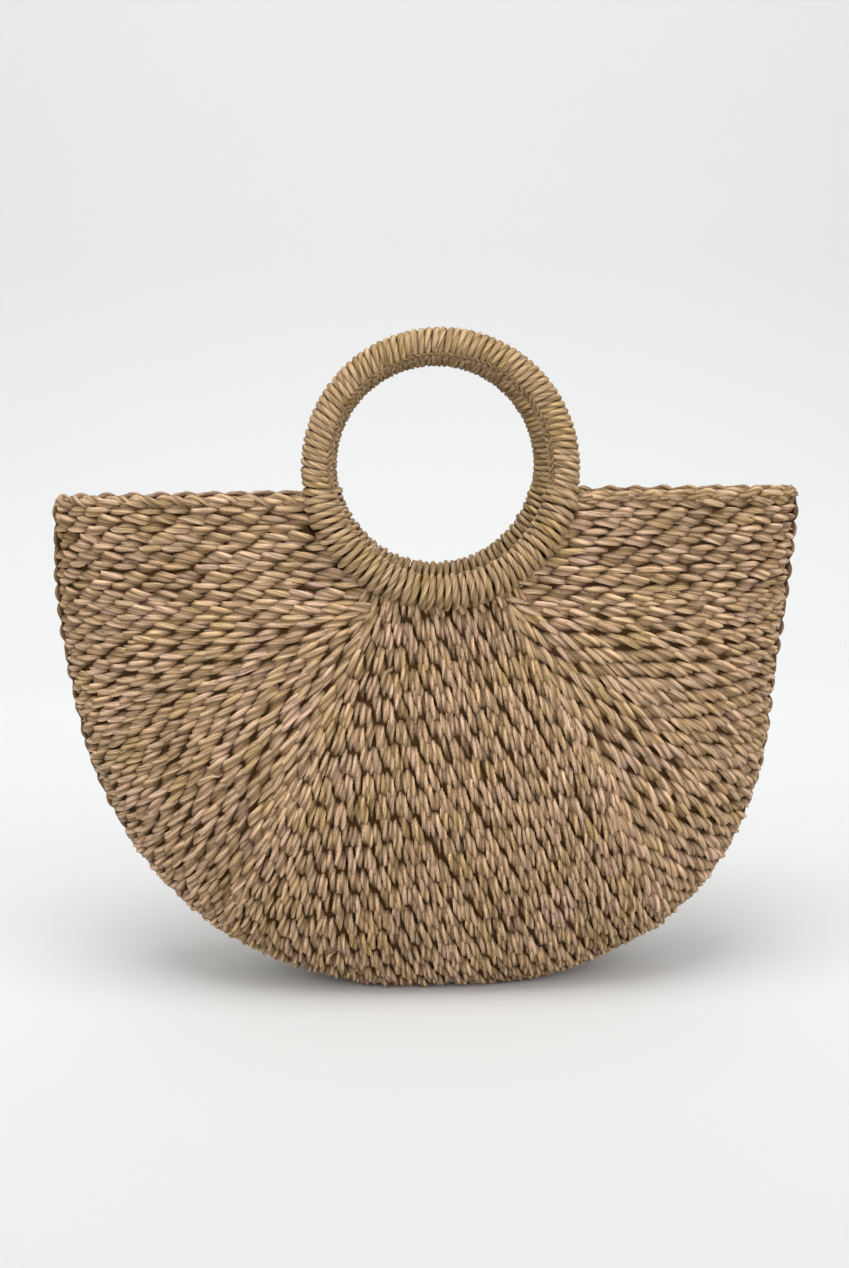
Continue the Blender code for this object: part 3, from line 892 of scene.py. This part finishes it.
def straw_material(name, warm, tan, rose, ply_shade):
    """Twisted paper cord: three tones shared out among the cords, long fibres, and painted shade in the
    hollows between the plies and on the cords' lower, hidden and inner parts.
    """
    material = bpy.data.materials.new(name)
    material.use_nodes = True
    nodes, links = material.node_tree.nodes, material.node_tree.links
    shader = nodes["Principled BSDF"]

    def attribute(label):
        node = nodes.new("ShaderNodeAttribute")
        node.attribute_name = label
        return node

    def math_node(operation, a, b):
        node = nodes.new("ShaderNodeMath")
        node.operation = operation
        for socket, value in zip(node.inputs, (a, b)):
            if isinstance(value, (int, float)):
                socket.default_value = value
            else:
                links.new(value, socket)
        return node.outputs[0]

    def mix(kind, factor, a, b):
        node = nodes.new("ShaderNodeMix")
        node.data_type = "RGBA"
        node.blend_type = kind
        sockets = [s for s in node.inputs if s.enabled and s.type in ("VALUE", "RGBA")]
        for label, value in (("Factor", factor), ("A", a), ("B", b)):
            socket = next(s for s in sockets if s.name == label)
            if isinstance(value, tuple):
                socket.default_value = (*value, 1.0)
            elif isinstance(value, float):
                socket.default_value = value
            else:
                links.new(value, socket)
        return next(s for s in node.outputs if s.enabled and s.type == "RGBA")

    def noise(vector, scale, detail):
        node = nodes.new("ShaderNodeTexNoise")
        node.inputs["Scale"].default_value = scale
        node.inputs["Detail"].default_value = detail
        links.new(vector, node.inputs["Vector"])
        return node.outputs["Fac"]

    def map_range(value, low, high, to_low, to_high):
        node = nodes.new("ShaderNodeMapRange")
        for label, number in zip(("From Min", "From Max", "To Min", "To Max"), (low, high, to_low, to_high)):
            node.inputs[label].default_value = number
        links.new(value, node.inputs["Value"])
        return node.outputs["Result"]

    stretch = nodes.new("ShaderNodeVectorMath")
    stretch.operation = "MULTIPLY"
    stretch.inputs[1].default_value = (FIBRE_STRETCH, 1.0, 1.0)
    links.new(attribute("fibre").outputs["Vector"], stretch.inputs[0])
    fibres = noise(stretch.outputs["Vector"], FIBRE_SCALE, FIBRE_DETAIL)
    parts = nodes.new("ShaderNodeSeparateXYZ")
    links.new(attribute("fibre").outputs["Vector"], parts.inputs[0])
    angle = math_node("ARCTAN2", parts.outputs["Z"], parts.outputs["Y"])
    wave = math_node("ABSOLUTE", math_node("SINE", math_node("MULTIPLY", angle, PLIES / 2), 0.0), 0.0)
    plies = math_node("POWER", wave, PLY_ROUNDNESS)
    position = nodes.new("ShaderNodeTexCoord").outputs["Object"]
    blotch = noise(position, BLOTCH_SCALE, BLOTCH_DETAIL)

    tint = math_node("MULTIPLY_ADD", attribute("tint").outputs["Fac"], TINT_SHARE)
    tint.node.inputs[2].default_value = 0.5
    tint = math_node("ADD", tint, math_node("MULTIPLY", math_node("SUBTRACT", blotch, 0.5), BLOTCH_SHARE))
    ramp = nodes.new("ShaderNodeValToRGB")
    links.new(tint, ramp.inputs["Fac"])
    tones = ramp.color_ramp.elements
    tones[0].position, tones[0].color = 0.15, (*warm, 1.0)
    tones[1].position, tones[1].color = 0.85, (*rose, 1.0)
    tones.new(0.5).color = (*tan, 1.0)

    streaks = map_range(fibres, 0.3, 0.7, *STREAK_SHADES)
    grey = nodes.new("ShaderNodeCombineColor")
    for socket in grey.inputs:
        links.new(streaks, socket)
    colour = mix("MULTIPLY", 1.0, ramp.outputs["Color"], grey.outputs["Color"])
    # painted shade along the grooves between the plies
    colour = mix("MIX", map_range(plies, 0.15, 0.90, ply_shade, 0.0), colour, PLY_SHADE_COLOUR)
    # painted shade: the lower a point's depth, the more its colour goes to the painted shade colour
    painted_shade = map_range(attribute("depth").outputs["Fac"], -0.55, 0.85, 0.97, 0.0)
    links.new(mix("MIX", painted_shade, colour, PAINTED_SHADE_COLOUR), shader.inputs["Base Color"])

    links.new(map_range(fibres, 0.0, 1.0, *STRAW_ROUGHNESS), shader.inputs["Roughness"])
    shader.inputs["Specular IOR Level"].default_value = STRAW_SPECULAR
    bump = nodes.new("ShaderNodeBump")
    bump.inputs["Strength"].default_value = RELIEF_STRENGTH
    bump.inputs["Distance"].default_value = RELIEF_DEPTH
    relief = math_node("ADD", math_node("MULTIPLY", plies, PLY_RELIEF), fibres)
    links.new(relief, bump.inputs["Height"])
    links.new(bump.outputs["Normal"], shader.inputs["Normal"])
    return material


def studio():
    """Pale floor that sweeps up into a wall, with painted light and shade along it, soft light from above and
    in front, and an even fill.
    """
    material = bpy.data.materials.new("studio_paper")
    material.use_nodes = True
    shader = material.node_tree.nodes["Principled BSDF"]
    shader.inputs["Roughness"].default_value = 0.9
    shader.inputs["Specular IOR Level"].default_value = 0.1
    nodes, links = material.node_tree.nodes, material.node_tree.links
    split = nodes.new("ShaderNodeSeparateXYZ")
    links.new(nodes.new("ShaderNodeTexCoord").outputs["Object"], split.inputs[0])
    travel = nodes.new("ShaderNodeMath")
    travel.operation = "ADD"
    links.new(split.outputs["Y"], travel.inputs[0])
    links.new(split.outputs["Z"], travel.inputs[1])
    place = nodes.new("ShaderNodeMapRange")
    place.inputs["From Min"].default_value, place.inputs["From Max"].default_value = PAPER_SPAN
    links.new(travel.outputs[0], place.inputs["Value"])
    ramp = nodes.new("ShaderNodeValToRGB")
    links.new(place.outputs["Result"], ramp.inputs["Fac"])
    low, high = PAPER_SPAN
    steps = ramp.color_ramp.elements
    # painted light and shade: the paper's tone at each stop
    for number, (spot, shade) in enumerate(PAPER_LIGHT_AND_SHADE):
        position = (spot - low) / (high - low)
        step = steps[number] if number < 2 else steps.new(position)
        step.position = position
        step.color = tuple(shade * part for part in PAPER) + (1.0,)
    links.new(ramp.outputs["Color"], shader.inputs["Base Color"])
    profile = [(SWEEP_NEAR, 0.0)]
    for step in range(SWEEP_STEPS + 1):
        angle = math.pi / 2 * step / SWEEP_STEPS
        run, climb = SWEEP_BEND * math.sin(angle), SWEEP_BEND * math.cos(angle)
        profile.append((SWEEP_WALL - SWEEP_BEND + run, SWEEP_BEND - climb))
    profile.append((SWEEP_WALL, SWEEP_HIGH))
    verts = [(side * SWEEP_WIDE, y, z) for side in (-1, 1) for y, z in profile]
    count = len(profile)
    faces = [(i, i + count, i + count + 1, i + 1) for i in range(count - 1)]
    mesh = bpy.data.meshes.new("studio_sweep")
    mesh.from_pydata(verts, [], faces)
    mesh.shade_smooth()
    mesh.materials.append(material)
    sweep = bpy.data.objects.new("studio_sweep", mesh)
    bpy.context.scene.collection.objects.link(sweep)

    world = bpy.data.worlds.new("studio_world")
    world.use_nodes = True
    background = world.node_tree.nodes["Background"]
    background.inputs["Color"].default_value = (1.0, 1.0, 1.0, 1.0)
    background.inputs["Strength"].default_value = WORLD_STRENGTH
    bpy.context.scene.world = world
    for label, place, size, energy, colour in LIGHTS:
        light = bpy.data.lights.new(label, "AREA")
        light.shape = "DISK"
        light.size = size
        light.energy = energy
        light.color = colour
        lamp = bpy.data.objects.new(label, light)
        lamp.location = place
        aim = Vector(LIGHT_AIM) - lamp.location
        lamp.rotation_euler = aim.to_track_quat("-Z", "Y").to_euler()
        bpy.context.scene.collection.objects.link(lamp)


def photo_camera():
    """The photograph's camera, in front of the bag and a little turned and rolled."""
    camera = bpy.data.cameras.new("photo_camera")
    camera.sensor_fit = "VERTICAL"
    camera.sensor_height = SENSOR
    camera.lens = FOCAL_PIXELS / PHOTO_HEIGHT * SENSOR
    camera.clip_start = 0.01
    eye = bpy.data.objects.new("photo_camera", camera)
    eye.location = (CAMERA_SIDE - CAMERA_DISTANCE * math.tan(CAMERA_YAW), -CAMERA_DISTANCE, CAMERA_HEIGHT)
    tilt = Euler((math.pi / 2 - CAMERA_PITCH, 0.0, -CAMERA_YAW), "XYZ").to_matrix()
    eye.rotation_euler = (tilt @ Matrix.Rotation(-CAMERA_ROLL, 3, "Z")).to_euler()
    bpy.context.scene.collection.objects.link(eye)
    bpy.context.scene.camera = eye


def main():
    photo_camera()
    studio()
    knit = straw_material("knit_straw", *KNIT_STRAW)
    wound = straw_material("wound_straw", *WOUND_STRAW)
    fields = make_fields()
    runs = knit_runs(stitch_table(fields))
    for word, side, seed in (("front", -1, 11), ("back", 1, 47)):
        panel = knit_panel(word, fields, runs, side, seed, knit)
        pieces = [(piece, "panel", "knitted_straw") for piece in panel]
        winding = hoop_winding(f"{word}_hoop_winding", side, seed + 1, wound)
        pieces.append((winding, "hoop_handle", "wound_straw"))
        loops = hoop_loops(f"{word}_binding_loops", side, seed + 2, wound)
        pieces.append((loops, "hoop_binding", "binding_straw"))
        if side < 0:
            pieces.append((seam_chain("seam_chain", knit), "panel", "knitted_straw"))
        for piece, suffix, slot in pieces:
            node = f"{word}_{suffix}"
            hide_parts(node)
            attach(piece, "root")
    bpy.context.scene.view_settings.view_transform = "Standard"


main()
